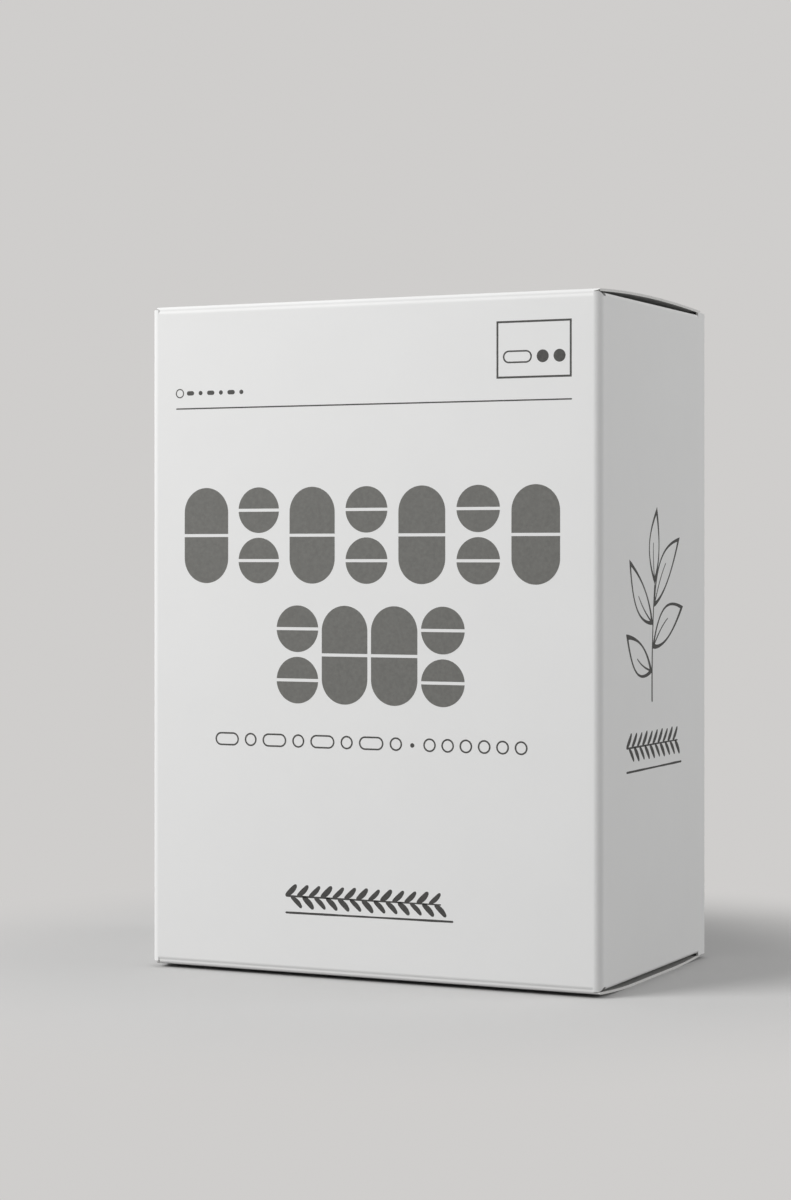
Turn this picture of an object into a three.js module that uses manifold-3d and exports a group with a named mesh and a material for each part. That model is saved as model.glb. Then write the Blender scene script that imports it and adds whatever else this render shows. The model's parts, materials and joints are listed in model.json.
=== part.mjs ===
// A tuck-end carton of tablets: one folded card sheet with a top and a bottom closure that hinge on the
// front panel and tuck in behind the rear panel, filled with blister strips and a folded leaflet.
// Millimetres, +Z up, front panel towards -Y, origin at the middle of the face that the carton stands on.

import * as THREE from "three";
import { mergeVertices } from "three/addons/utils/BufferGeometryUtils.js";
import Module from "manifold-3d";

// The carton's outer size: height is from the bottom hinge line to the top hinge line.
const width = 88;
const depth = 55;
const height = 120;

// The card, its folds and its fits.
const card = 0.45;
const wallFold = 1.5; // outer radius of the four upright folds
const lidFold = 0.8; // outer radius of the fold that each closure hinges on
const clearance = 0.3; // between pieces that meet
const dustFold = 0.6; // outer radius of a dust flap's fold
const dustDrop = 0.6; // how far a dust flap's outer face lies inside the hinge line's level
const dustLength = 30;
const dustTaper = 4; // how much narrower a dust flap's free end is on its front side
const dustCorner = 5;
const dustFrontInset = 0.7; // from the upright fold to the dust flap's root
const shoulder = 4.8; // length of side wall left standing behind a dust flap's root
const notchWidth = 1.5; // the small V cut where the front panel meets a side panel
const notchDepth = 0.9;
const rearDrop = 0.2; // rear panel's cut edge below the hinge line's level
const glueWidth = 14;
const glueRoot = 1; // width of the glue flap that runs the whole height, beside its fold
const glueTaper = 4;
const glueInset = 3; // from the rear panel's cut edges to the glue flap's ends

// The two closures: how far each bows outwards, and how far its tuck fold stands out.
const topBow = 0.8;
const topRearRise = 0.25;
const bottomBow = 0.7;
const bottomRearRise = 0.2;
const restHalfDepth = 10; // half depth of the flat strip that the carton stands on
const lidInset = 0.4; // closure's side edges inside the carton's side faces
const tuckLength = 14;
const tuckFold = 1.3; // outer radius of the fold between closure and tuck flap
const tuckInset = 1.1; // tuck flap's side edges inside the closure's relief
const tuckCorner = 9;
const slitLength = 6;
const slitWidth = 0.4;

// The blister strips, each a sealed sheet with pockets for ten tablets: as many as the carton holds.
const stripWidth = 82;
const stripHeight = 110;
const stripSheet = 0.4;
const stripCorner = 5;
const pocketRows = 5;
const pocketColumns = 2;
const pocketLength = 24;
const pocketWidth = 11.5;
const pocketDepth = 7;
const pocketColumnPitch = 38;
const pocketRowPitch = 20.5;

// The leaflet: one sheet folded to and fro.
const leafletWidth = 76;
const leafletHeight = 92;
const leafletPaper = 0.35;
const leafletGap = 0.25;
const leafletLayers = 5;

const small = 1; // how far a cutting solid passes the face that it cuts
const mergeDistance = 1e-3; // points of a path closer than this are one point
const weldDistance = 1e-5; // corners of a mesh closer than this are one corner

// How finely curves are drawn.
const cornerSegments = 6;
const foldSegments = 3;
const closureSegments = 5;
const pocketSegments = 5;

// Levels and halves that follow from the sizes above.
const halfWidth = width / 2;
const halfDepth = depth / 2;
const bottomHinge = bottomBow; // the bottom closure's flat strip lies at z = 0
const topHinge = bottomHinge + height;
const dustLow = bottomHinge + dustDrop; // outer face of the bottom dust flaps
const dustHigh = topHinge - dustDrop;
const shoulderStart = halfDepth - shoulder;
const halfCard = card / 2;

const wasm = await Module();
wasm.setup();

// Coordinate frames for extrusions: which way the outline's two axes and its extrusion point.
const alongX = new THREE.Matrix4().makeBasis(axis(0, 1, 0), axis(0, 0, 1), axis(1, 0, 0));
const alongY = new THREE.Matrix4().makeBasis(axis(1, 0, 0), axis(0, 0, 1), axis(0, -1, 0));
const alongZ = new THREE.Matrix4();

function axis(x, y, z) {
  return new THREE.Vector3(x, y, z);
}

function solidOf(geometry) {
  const bare = geometry.clone();
  bare.deleteAttribute("normal");
  bare.deleteAttribute("uv");
  const merged = mergeVertices(bare, weldDistance);
  return new wasm.Manifold(
    new wasm.Mesh({
      numProp: 3,
      vertProperties: merged.attributes.position.array,
      triVerts: new Uint32Array(merged.index.array),
    }),
  );
}

function geometryOf(solid) {
  const mesh = solid.getMesh();
  const indexed = new THREE.BufferGeometry();
  indexed.setAttribute("position", new THREE.BufferAttribute(mesh.vertProperties, 3));
  indexed.setIndex(new THREE.BufferAttribute(mesh.triVerts, 1));
  const geometry = indexed.toNonIndexed();
  geometry.computeVertexNormals();
  return geometry;
}

function extrude(shape, from, to, frame) {
  const geometry = new THREE.ExtrudeGeometry(shape, {
    depth: to - from,
    bevelEnabled: false,
    curveSegments: cornerSegments,
  });
  geometry.translate(0, 0, from);
  geometry.applyMatrix4(frame);
  return geometry;
}

function prism(shape, from, to, frame) {
  return solidOf(extrude(shape, from, to, frame));
}

function box(x0, x1, y0, y1, z0, z1) {
  const geometry = new THREE.BoxGeometry(x1 - x0, y1 - y0, z1 - z0);
  geometry.translate((x0 + x1) / 2, (y0 + y1) / 2, (z0 + z1) / 2);
  return solidOf(geometry);
}

function polygon(points) {
  return new THREE.Shape(points.map(([x, y]) => new THREE.Vector2(x, y)));
}

// The outline of a sheet of even thickness whose middle follows a path.
function sheetOutline(path, thickness, divisions) {
  const drawn = path.getPoints(divisions);
  const middle = drawn.filter((point, i) => i === 0 || point.distanceTo(drawn[i - 1]) > mergeDistance);
  const left = [];
  const right = [];
  middle.forEach((point, i) => {
    const next = middle[i + 1] ?? point;
    const last = middle[i - 1] ?? point;
    const ahead = next.clone().sub(point).normalize();
    const behind = point.clone().sub(last).normalize();
    const along = ahead.clone().add(behind).normalize();
    const isEnd = i === 0 || i === middle.length - 1;
    const halfTurn = isEnd ? 1 : Math.sqrt((1 + ahead.dot(behind)) / 2);
    const offset = new THREE.Vector2(-along.y, along.x).multiplyScalar(thickness / 2 / halfTurn);
    left.push(point.clone().add(offset));
    right.push(point.clone().sub(offset));
  });
  return new THREE.Shape([...left, ...right.reverse()]);
}

// A rectangle whose corners are rounded, from its lowest corner.
function roundedRectangle(x, y, w, h, radius) {
  const shape = new THREE.Shape();
  shape.moveTo(x + radius, y);
  shape.lineTo(x + w - radius, y);
  shape.absarc(x + w - radius, y + radius, radius, -Math.PI / 2, 0);
  shape.lineTo(x + w, y + h - radius);
  shape.absarc(x + w - radius, y + h - radius, radius, 0, Math.PI / 2);
  shape.lineTo(x + radius, y + h);
  shape.absarc(x + radius, y + h - radius, radius, Math.PI / 2, Math.PI);
  shape.lineTo(x, y + radius);
  shape.absarc(x + radius, y + radius, radius, Math.PI, Math.PI * 1.5);
  return shape;
}

// The four walls in plan. The rear panel's raw edge shows at the left rear corner, where it is
// glued over a flap that turns in from the left side panel.
function wallPlan() {
  const inner = wallFold - card;
  const plan = new THREE.Shape();
  plan.moveTo(-halfWidth + wallFold, -halfDepth);
  plan.lineTo(halfWidth - wallFold, -halfDepth);
  plan.absarc(halfWidth - wallFold, -halfDepth + wallFold, wallFold, -Math.PI / 2, 0);
  plan.lineTo(halfWidth, halfDepth - wallFold);
  plan.absarc(halfWidth - wallFold, halfDepth - wallFold, wallFold, 0, Math.PI / 2);
  plan.lineTo(-halfWidth + wallFold, halfDepth);
  plan.lineTo(-halfWidth + wallFold, halfDepth - card);
  plan.absarc(-halfWidth + wallFold, halfDepth - card - wallFold, wallFold, Math.PI / 2, Math.PI);
  plan.lineTo(-halfWidth, -halfDepth + wallFold);
  plan.absarc(-halfWidth + wallFold, -halfDepth + wallFold, wallFold, Math.PI, Math.PI * 1.5);

  const inside = new THREE.Path();
  inside.moveTo(-halfWidth + wallFold, -halfDepth + card);
  inside.lineTo(halfWidth - wallFold, -halfDepth + card);
  inside.absarc(halfWidth - wallFold, -halfDepth + wallFold, inner, -Math.PI / 2, 0);
  inside.lineTo(halfWidth - card, halfDepth - wallFold);
  inside.absarc(halfWidth - wallFold, halfDepth - wallFold, inner, 0, Math.PI / 2);
  inside.lineTo(-halfWidth + wallFold + glueRoot, halfDepth - card);
  inside.lineTo(-halfWidth + wallFold + glueRoot, halfDepth - 2 * card);
  inside.lineTo(-halfWidth + wallFold, halfDepth - 2 * card);
  inside.absarc(-halfWidth + wallFold, halfDepth - card - wallFold, inner, Math.PI / 2, Math.PI);
  inside.lineTo(-halfWidth + card, -halfDepth + wallFold);
  inside.absarc(-halfWidth + wallFold, -halfDepth + wallFold, inner, Math.PI, Math.PI * 1.5);
  plan.holes.push(inside);
  return plan;
}

// The flap that the rear panel is glued to, with its ends cut at a slant.
function glueFlap() {
  const low = bottomHinge + glueInset;
  const high = topHinge - glueInset;
  const root = -halfWidth + wallFold;
  const tip = -halfWidth + glueWidth;
  const outline = polygon([
    [root, low],
    [tip, low + glueTaper],
    [tip, high - glueTaper],
    [root, high],
  ]);
  return prism(outline, -(halfDepth - card / 2), -(halfDepth - 2 * card), alongY);
}

// A dust flap: side is 1 on the right and -1 on the left, end is 1 at the top and -1 at the bottom.
function dustFlap(side, end) {
  const outerFace = end > 0 ? dustHigh : dustLow;
  const level = outerFace - (end * card) / 2;
  const wallMiddle = side * (halfWidth - halfCard);
  const foldRadius = dustFold - halfCard;
  const foldEnd = wallMiddle - side * foldRadius;
  const tip = side * (halfWidth - dustLength);
  const front = -halfDepth + wallFold + dustFrontInset;

  const path = new THREE.Path();
  path.moveTo(wallMiddle, level - end * (foldRadius + small));
  path.lineTo(wallMiddle, level - end * foldRadius);
  const wallAngle = side > 0 ? 0 : Math.PI;
  const flapAngle = (end * Math.PI) / 2;
  path.absarc(foldEnd, level - end * foldRadius, foldRadius, wallAngle, flapAngle, side * end < 0);
  path.lineTo(tip - side * small, level);
  const folded = prism(sheetOutline(path, card, foldSegments), -shoulderStart, -front, alongY);

  const outline = new THREE.Shape();
  outline.moveTo(side * (halfWidth + small), front);
  outline.lineTo(side * (halfWidth - dustFold), front);
  outline.lineTo(tip + side * dustCorner, front + dustTaper);
  outline.quadraticCurveTo(tip, front + dustTaper, tip, front + dustTaper + dustCorner);
  outline.lineTo(tip, shoulderStart - dustCorner);
  outline.quadraticCurveTo(tip, shoulderStart, tip + side * dustCorner, shoulderStart);
  outline.lineTo(side * (halfWidth + small), shoulderStart);
  const reach = 2 * dustFold + small;
  return folded.intersect(prism(outline, level - reach, level + reach, alongZ));
}

// The V cut at a front corner, where the upright fold runs out between a dust flap and a closure.
function cornerNotch(side, end) {
  const edge = frontEdge(end);
  const outline = polygon([
    [-notchWidth / 2, end * small],
    [0, -end * notchDepth],
    [notchWidth / 2, end * small],
  ]);
  const cut = extrude(outline, -2 * wallFold, 2 * wallFold, alongY);
  cut.rotateZ((side * Math.PI) / 4);
  cut.translate(side * (halfWidth - wallFold), -halfDepth + wallFold, edge);
  return solidOf(cut);
}

// The level of the front panel's edge, just short of the closure's fold.
function frontEdge(end) {
  const hinge = end > 0 ? topHinge : bottomHinge;
  return hinge - end * (lidFold + clearance);
}

// Cuts the wall's end to its real edges: the front panel short of the closure's fold, the side panels
// at the dust flaps' folds, and the rear panel with the shoulders beside it near the full height.
function cutWallEnd(walls, end) {
  const high = end > 0;
  const span = (edge) => (high ? [edge, topHinge + small] : [bottomHinge - small, edge]);
  const sideEdge = (high ? dustHigh : dustLow) - end * dustFold;
  const rearEdge = (high ? topHinge : bottomHinge) - end * rearDrop;
  const across = [-halfWidth - small, halfWidth + small];
  const foldEnd = -halfDepth + wallFold;
  return walls
    .subtract(box(...across, -halfDepth - small, foldEnd, ...span(frontEdge(end))))
    .subtract(box(...across, foldEnd, shoulderStart, ...span(sideEdge)))
    .subtract(box(...across, shoulderStart, halfDepth + small, ...span(rearEdge)));
}

function carton() {
  let sheet = prism(wallPlan(), bottomHinge, topHinge, alongZ);
  for (const end of [1, -1]) {
    sheet = cutWallEnd(sheet, end);
    for (const side of [1, -1]) {
      sheet = sheet.add(dustFlap(side, end)).subtract(cornerNotch(side, end));
    }
  }
  return geometryOf(sheet.add(glueFlap()));
}

// A closure in its hinge's own frame: the hinge line is the X axis, +Y runs back to the rear panel and
// +Z points out of the carton. It swings clear of the rear panel because its tuck flap follows an arc
// about the hinge line.
function closurePath(bow, rearRise, flatHalf) {
  const foldRadius = lidFold - halfCard;
  const reach = depth - 2 * card - clearance - halfCard;
  const bendRadius = tuckFold - halfCard;
  const path = new THREE.Path();
  path.moveTo(halfCard, -lidFold);
  path.absarc(lidFold, -lidFold, foldRadius, Math.PI, Math.PI / 2, true);

  const crown = bow - halfCard;
  const flatFrom = halfDepth - flatHalf;
  const flatTo = halfDepth + flatHalf;
  path.quadraticCurveTo((lidFold + flatFrom) / 2, crown, flatFrom, crown);
  path.lineTo(flatTo, crown);

  const bendTop = rearRise - halfCard;
  const bendCentreHeight = bendTop - bendRadius;
  const bendCentre = Math.sqrt((reach - bendRadius) ** 2 - bendCentreHeight ** 2);
  path.quadraticCurveTo((flatTo + bendCentre) / 2, crown, bendCentre, bendTop);
  const tuckStart = Math.atan2(bendCentreHeight, bendCentre);
  path.absarc(bendCentre, bendCentreHeight, bendRadius, Math.PI / 2, tuckStart, true);
  path.absarc(0, 0, reach, tuckStart, -Math.asin(tuckLength / reach), true);
  return path;
}

function closure(bow, rearRise, flatHalf) {
  const halfSpan = halfWidth - lidInset;
  const halfRelief = halfWidth - card - clearance;
  const halfTuck = halfRelief - tuckInset;
  const bendDepth = tuckFold - rearRise;
  const folded = prism(
    sheetOutline(closurePath(bow, rearRise, flatHalf), card, closureSegments),
    -halfSpan,
    halfSpan,
    alongX,
  );

  // Seen along the depth, the tuck flap is narrower than the closure and has round corners.
  const tuckOutline = roundedRectangle(
    -halfTuck,
    -tuckLength,
    2 * halfTuck,
    tuckLength + 2 * tuckCorner,
    tuckCorner,
  );
  const tuckSpace = box(-width, width, depth - tuckFold - shoulder, depth, -tuckLength - small, -bendDepth);
  const tuckKept = prism(tuckOutline, -depth - small, 0, alongY);
  const relief = (side) =>
    box(
      side > 0 ? halfRelief : -width,
      side > 0 ? width : -halfRelief,
      depth - shoulder - clearance,
      depth + small,
      -tuckLength - small,
      bow + small,
    );
  const slit = (side) =>
    box(
      side > 0 ? halfRelief - slitLength : -width,
      side > 0 ? width : -halfRelief + slitLength,
      depth - tuckFold - 2 * small,
      depth + small,
      -bendDepth - slitWidth,
      -bendDepth,
    );
  return geometryOf(
    folded
      .subtract(tuckSpace.subtract(tuckKept))
      .subtract(relief(1))
      .subtract(relief(-1))
      .subtract(slit(1))
      .subtract(slit(-1)),
  );
}

// A closed solid through rings of points, each ring convex and with as many points as the last.
function loft(rings) {
  const count = rings[0].length;
  const positions = rings.flat().flatMap((point) => point.toArray());
  const faces = [];
  for (let r = 0; r + 1 < rings.length; r++) {
    for (let i = 0; i < count; i++) {
      const a = r * count + i;
      const b = r * count + ((i + 1) % count);
      faces.push(a, b, b + count, a, b + count, a + count);
    }
  }
  const last = (rings.length - 1) * count;
  for (let i = 1; i + 1 < count; i++) {
    faces.push(0, i + 1, i, last, last + i, last + i + 1);
  }
  const geometry = new THREE.BufferGeometry();
  geometry.setAttribute("position", new THREE.Float32BufferAttribute(positions, 3));
  geometry.setIndex(faces);
  return geometry;
}

// A pocket's outline at one depth: two half circles joined by straight sides.
function pocketRing(inset, y) {
  const radius = pocketWidth / 2 - inset;
  const reach = pocketLength / 2 - pocketWidth / 2;
  const ring = [];
  for (const [end, start] of [
    [1, -Math.PI / 2],
    [-1, Math.PI / 2],
  ]) {
    for (let i = 0; i <= pocketSegments; i++) {
      const angle = start + (Math.PI * i) / pocketSegments;
      ring.push(axis(end * reach + radius * Math.cos(angle), y, radius * Math.sin(angle)));
    }
  }
  return ring;
}

// One blister strip, standing on the X axis, its pockets towards -Y and its foil face at y = 0.
function blisterStrip() {
  const sheet = roundedRectangle(-stripWidth / 2, 0, stripWidth, stripHeight, stripCorner);
  let strip = prism(sheet, 0, stripSheet, alongY);
  // From rim to crown: how far in and how far out each ring lies, as shares of the pocket's depth.
  const rings = [
    [0.06, 0.65],
    [0.2, 0.91],
    [0.48, 1],
  ];
  const pocket = loft([
    pocketRing(0, -stripSheet / 2),
    ...rings.map(([into, out]) => pocketRing(pocketDepth * into, -stripSheet - pocketDepth * out)),
  ]);
  for (let column = 0; column < pocketColumns; column++) {
    for (let row = 0; row < pocketRows; row++) {
      const x = (column - (pocketColumns - 1) / 2) * pocketColumnPitch;
      const z = stripHeight / 2 + (row - (pocketRows - 1) / 2) * pocketRowPitch;
      strip = strip.add(solidOf(pocket.clone().translate(x, 0, z)));
    }
  }
  return geometryOf(strip);
}

// The leaflet in plan: one sheet folded to and fro, its layers stacked from y = 0 backwards.
function leaflet() {
  const pitch = leafletPaper + leafletGap;
  const straight = (leafletWidth - pitch - leafletPaper) / 2;
  const path = new THREE.Path();
  path.moveTo(-straight, leafletPaper / 2);
  for (let layer = 0; layer < leafletLayers; layer++) {
    const y = leafletPaper / 2 + layer * pitch;
    const side = layer % 2 ? -1 : 1;
    path.lineTo(side * straight, y);
    if (layer + 1 < leafletLayers) {
      path.absarc(side * straight, y + pitch / 2, pitch / 2, -Math.PI / 2, Math.PI / 2, side < 0);
    }
  }
  return extrude(sheetOutline(path, leafletPaper, foldSegments), 0, leafletHeight, alongZ);
}

const cardMaterial = new THREE.MeshStandardMaterial({ color: 0xe6e6e5, roughness: 0.85 });
const blisterMaterial = new THREE.MeshStandardMaterial({ color: 0xd9dadb, roughness: 0.35, metalness: 0.4 });
const paperMaterial = new THREE.MeshStandardMaterial({ color: 0xf1efe9, roughness: 0.9 });

function piece(name, geometry, material) {
  const mesh = new THREE.Mesh(geometry, material);
  mesh.name = name;
  return mesh;
}

const box_of_tablets = new THREE.Group();
box_of_tablets.add(piece("carton", carton(), cardMaterial));

const topLid = piece("top_lid", closure(topBow, topRearRise, 0), cardMaterial);
topLid.position.set(0, -halfDepth, topHinge);
box_of_tablets.add(topLid);

const bottomLid = piece(
  "bottom_lid",
  closure(bottomBow, bottomRearRise, restHalfDepth),
  cardMaterial,
);
bottomLid.position.set(0, -halfDepth, bottomHinge);
bottomLid.rotation.y = Math.PI;
box_of_tablets.add(bottomLid);

// The strips stand on the bottom dust flaps in pairs, foil to foil, from the front panel backwards. They
// and the leaflet fill the depth between the front panel and the tips of the tuck flaps.
const floorLevel = dustLow + card + clearance;
const stripThickness = stripSheet + pocketDepth;
const leafletThickness = leafletLayers * leafletPaper + (leafletLayers - 1) * leafletGap;
const tuckReach = depth - 2 * card - clearance;
const tuckTip = Math.sqrt(tuckReach ** 2 - tuckLength ** 2) - card;
const stripRoom = tuckTip - clearance - leafletThickness - (card + clearance);
const stripCount = Math.floor(stripRoom / (stripThickness + clearance));
const stripGeometry = blisterStrip();
const contents = new THREE.Group();
contents.position.set(0, -halfDepth + card + clearance, floorLevel);
for (let i = 0; i < stripCount; i++) {
  const strip = piece(`blister_strip_${i + 1}`, stripGeometry, blisterMaterial);
  const turned = i % 2 === 1;
  strip.position.y = i * (stripThickness + clearance) + (turned ? 0 : stripThickness);
  strip.rotation.z = turned ? Math.PI : 0;
  contents.add(strip);
}

const foldedLeaflet = piece("leaflet", leaflet(), paperMaterial);
foldedLeaflet.position.y = stripCount * (stripThickness + clearance);
contents.add(foldedLeaflet);
box_of_tablets.add(contents);

export default box_of_tablets;
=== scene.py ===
"""A white card carton of tablets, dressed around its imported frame: the folded card with its creases and
print, the blister strips and the leaflet, on a pale floor under soft studio light."""

import json
import math

import bpy
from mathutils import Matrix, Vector


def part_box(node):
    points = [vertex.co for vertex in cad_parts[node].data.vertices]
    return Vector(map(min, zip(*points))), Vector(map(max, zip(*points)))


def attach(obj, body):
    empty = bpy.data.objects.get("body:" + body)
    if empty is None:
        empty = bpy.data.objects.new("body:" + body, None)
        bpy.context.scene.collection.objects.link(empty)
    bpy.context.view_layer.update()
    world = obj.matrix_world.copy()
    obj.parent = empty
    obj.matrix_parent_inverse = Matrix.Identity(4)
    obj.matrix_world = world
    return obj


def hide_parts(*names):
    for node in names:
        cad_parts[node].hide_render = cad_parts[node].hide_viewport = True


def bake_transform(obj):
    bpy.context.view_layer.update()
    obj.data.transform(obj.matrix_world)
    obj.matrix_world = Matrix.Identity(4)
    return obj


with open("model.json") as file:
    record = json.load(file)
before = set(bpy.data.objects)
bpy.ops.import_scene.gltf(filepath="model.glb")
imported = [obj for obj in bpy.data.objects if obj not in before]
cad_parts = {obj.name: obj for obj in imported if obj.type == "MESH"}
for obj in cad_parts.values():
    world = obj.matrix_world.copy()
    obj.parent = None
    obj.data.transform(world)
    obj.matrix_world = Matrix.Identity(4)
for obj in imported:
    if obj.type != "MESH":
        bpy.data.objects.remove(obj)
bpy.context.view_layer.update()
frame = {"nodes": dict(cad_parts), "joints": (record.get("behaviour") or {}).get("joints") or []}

MM = 0.001

# The carton, from the frame.
HINGES = {j["name"]: Vector(j["pos_m"]) for j in frame["joints"]}
FRONT = HINGES["top_lid_hinge"].y
TOP_HINGE = HINGES["top_lid_hinge"].z
BOTTOM_HINGE = HINGES["bottom_lid_hinge"].z
CARTON_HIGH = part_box("carton")[1]
HALF_WIDTH = CARTON_HIGH.x
REAR = CARTON_HIGH.y
DEPTH = REAR - FRONT
TOP_LID_LOW, TOP_LID_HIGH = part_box("top_lid")
BOTTOM_LID_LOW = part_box("bottom_lid")[0]
TOP_BOW = TOP_LID_HIGH.z - TOP_HINGE
BOTTOM_BOW = BOTTOM_HINGE - BOTTOM_LID_LOW.z
LID_HALF_SPAN = TOP_LID_HIGH.x
REAR_DROP = TOP_HINGE - CARTON_HIGH.z
TUCK_LENGTH = TOP_HINGE - TOP_LID_LOW.z

# The card and its folds.
CARD = 0.45 * MM
CLEARANCE = 0.3 * MM
WALL_FOLD = 1.5 * MM
CREASE_RUN = 1.5 * MM  # how far down the front panel a closure's crease begins
DUST_FOLD = 0.6 * MM
DUST_DROP = 0.6 * MM  # a dust flap's outer face lies this far inside the hinge line
DUST_LENGTH = 30 * MM
DUST_TAPER = 4 * MM
DUST_CORNER = 5 * MM
DUST_FRONT_INSET = 0.7 * MM  # from the upright fold to the dust flap's root
SHOULDER = 4.8 * MM  # side panel left standing behind a dust flap's root
GLUE_WIDTH = 14 * MM
GLUE_SLANT = 7 * MM  # how far the glue flap's ends lean in up to its free edge
TOP_REAR_RISE = 0.25 * MM
BOTTOM_REAR_RISE = 0.2 * MM
REST_HALF_DEPTH = 10 * MM  # half depth of the flat strip that the carton stands on
TUCK_FOLD = 1.3 * MM
TUCK_INSET = 1.1 * MM
TUCK_CORNER = 9 * MM
SLIT_LENGTH = 6 * MM

# A closure's crease as scored card folds: the share of its run, and how far the face has turned there.
# The two shoulders beside the score stand proud of the valley between them.
CREASE_TURNS = [(0.0, 0), (0.3, 20), (0.48, 2), (0.66, 26), (1.0, 90)]
CREASE_JOIN = 0.5 * MM  # a crease widens past the upright folds from here below the hinge line
CREASE_SPREAD = 0.35 * MM  # over this height
RIM_LEVEL = 0.4  # the share of an upright fold whose rim stays level before it falls to the side panel
LEFT_INSET = 0.6 * MM  # a closure's crease starts this much further in on the left
LEFT_INSET_RUN = 6 * MM  # and runs out to the closure's full width over this depth

FOLD_STEPS = 16
CREASE_STEPS = 40
BOW_STEPS = 30
TUCK_STEPS = 24
CORNER_STEPS = 10
SLIT_STEPS = 2  # the last steps of the tuck fold, where the slits cut in from both sides
INK = 0.012 * MM  # how far print stands off the card
INK_ROOT = 0.01 * MM  # how far it reaches into the card
OVERPRINT = 0.001 * MM  # how much further each stroke stands than the one that it crosses
OVERPRINT_LEVELS = 4
MERGE = 1e-6

# Colours, linear.
CARD_WHITE = (0.80, 0.80, 0.795)
# The board's grey back, made darker than the board really is, so that it also serves as painted shade in
# the narrow gaps under the closures.
CARD_GREY_BACK_AND_GAP_SHADE = (0.37, 0.368, 0.36)
CARD_EDGE = (0.72, 0.715, 0.70)
INK_GREY = (0.145, 0.144, 0.134)
INK_LINE = (0.055, 0.054, 0.051)
INK_DARK = (0.045, 0.044, 0.042)
BACKDROP = (0.625, 0.614, 0.604)
FLOOR_COLOUR = (0.581, 0.578, 0.574)
FLOOR_BOUNCE = 0.2  # how much of its light the floor gives back to the carton
FILM_WHITE = (0.80, 0.80, 0.79)
FOIL = (0.72, 0.73, 0.74)
PAPER = (0.80, 0.79, 0.76)


class CardSheet:
    """A sheet of even thickness. A corner of a face is a point on the sheet's outer side and the way
    out of it there; the inner side and the cut edges follow from those."""

    OUTER, INNER, EDGE = range(3)  # the material slots

    def __init__(self, name, thickness):
        self.name = name
        self.thickness = thickness
        self.outer = []
        self.inner = []
        self.found = {}
        self.faces = []

    def corner(self, point, out):
        point = Vector(point)
        key = tuple(round(c / MERGE) for c in point)
        if key not in self.found:
            self.found[key] = len(self.outer)
            self.outer.append(point)
            self.inner.append(point - Vector(out).normalized() * self.thickness)
        return self.found[key]

    def face(self, corners):
        ids = [self.corner(point, out) for point, out in corners]
        kept = [v for i, v in enumerate(ids) if v != ids[i - 1]]
        if len(set(kept)) > 2:
            self.faces.append(kept)

    def rows(self, rows, flip=False):
        """Quads between rows of corners; flip turns their outer side round."""
        for a, b in zip(rows, rows[1:]):
            for i in range(len(a) - 1):
                quad = [a[i], a[i + 1], b[i + 1], b[i]]
                self.face(quad[::-1] if flip else quad)

    def build(self, materials):
        """The closed mesh: outer side, inner side and cut edges, each with its own material."""
        count = len(self.outer)
        sides = {(a, b) for f in self.faces for a, b in zip(f, f[1:] + f[:1])}
        faces = [list(f) for f in self.faces]
        slots = [self.OUTER] * len(faces)
        for f in self.faces:
            faces.append([v + count for v in reversed(f)])
            slots.append(self.INNER)
        for a, b in sorted(sides):
            if (b, a) not in sides:
                faces.append([b, a, a + count, b + count])
                slots.append(self.EDGE)
        return new_mesh(self.name, self.outer + self.inner, faces, materials, slots)


def new_mesh(name, points, faces, materials, slots=None):
    """An object from points in metres; slots gives each face its place in the list of materials."""
    mesh = bpy.data.meshes.new(name)
    mesh.from_pydata([tuple(p) for p in points], [], faces)
    for material in materials:
        mesh.materials.append(material)
    if slots:
        mesh.polygons.foreach_set("material_index", slots)
    mesh.update()
    obj = bpy.data.objects.new(name, mesh)
    bpy.context.scene.collection.objects.link(obj)
    return obj


def mix(a, b, share):
    return a + (b - a) * share


def ease(share):
    """A share from 0 to 1 that starts and ends gently."""
    share = max(0.0, min(1.0, share))
    return share * share * (3 - 2 * share)


# Materials

NOISE_SPAN = (0.3, 0.7)  # what most of a noise texture's values lie between
SHEEN_SPREAD = 0.05  # how unevenly rough coated card is
INK_SPAN = (0.35, 0.72)  # the span over which ink goes from its darkest to its palest specks


def new_material(name):
    material = bpy.data.materials.new(name)
    material.use_nodes = True
    nodes = material.node_tree.nodes
    return material, nodes, material.node_tree.links, nodes["Principled BSDF"]


def add_noise(nodes, links, scale, detail, roughness=0.5, stretch=(1, 1, 1)):
    """Noise over the object's own coordinates, in cycles for each metre."""
    place = nodes.new("ShaderNodeTexCoord")
    mapping = nodes.new("ShaderNodeMapping")
    mapping.inputs["Scale"].default_value = stretch
    noise = nodes.new("ShaderNodeTexNoise")
    noise.inputs["Scale"].default_value = scale
    noise.inputs["Detail"].default_value = detail
    noise.inputs["Roughness"].default_value = roughness
    links.new(place.outputs["Object"], mapping.inputs["Vector"])
    links.new(mapping.outputs["Vector"], noise.inputs["Vector"])
    return noise.outputs["Fac"]


def tint_by(nodes, links, factor, low, high, span=NOISE_SPAN):
    """A colour that goes from low to high as the factor goes through the span."""
    ramp = nodes.new("ShaderNodeValToRGB")
    for element, place, colour in zip(ramp.color_ramp.elements, span, (low, high)):
        element.position = place
        element.color = (*colour, 1)
    links.new(factor, ramp.inputs["Fac"])
    return ramp.outputs["Color"]


def range_of(nodes, links, factor, low, high):
    """A value that goes from low to high with a noise texture."""
    spread = nodes.new("ShaderNodeMapRange")
    spread.inputs["From Min"].default_value = NOISE_SPAN[0]
    spread.inputs["From Max"].default_value = NOISE_SPAN[1]
    spread.inputs["To Min"].default_value = low
    spread.inputs["To Max"].default_value = high
    links.new(factor, spread.inputs["Value"])
    return spread.outputs["Result"]


def combine(nodes, links, operation, first, second):
    """One value out of two, such as their product or the larger of them."""
    node = nodes.new("ShaderNodeMath")
    node.operation = operation
    links.new(first, node.inputs[0])
    links.new(second, node.inputs[1])
    return node.outputs["Value"]


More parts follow.
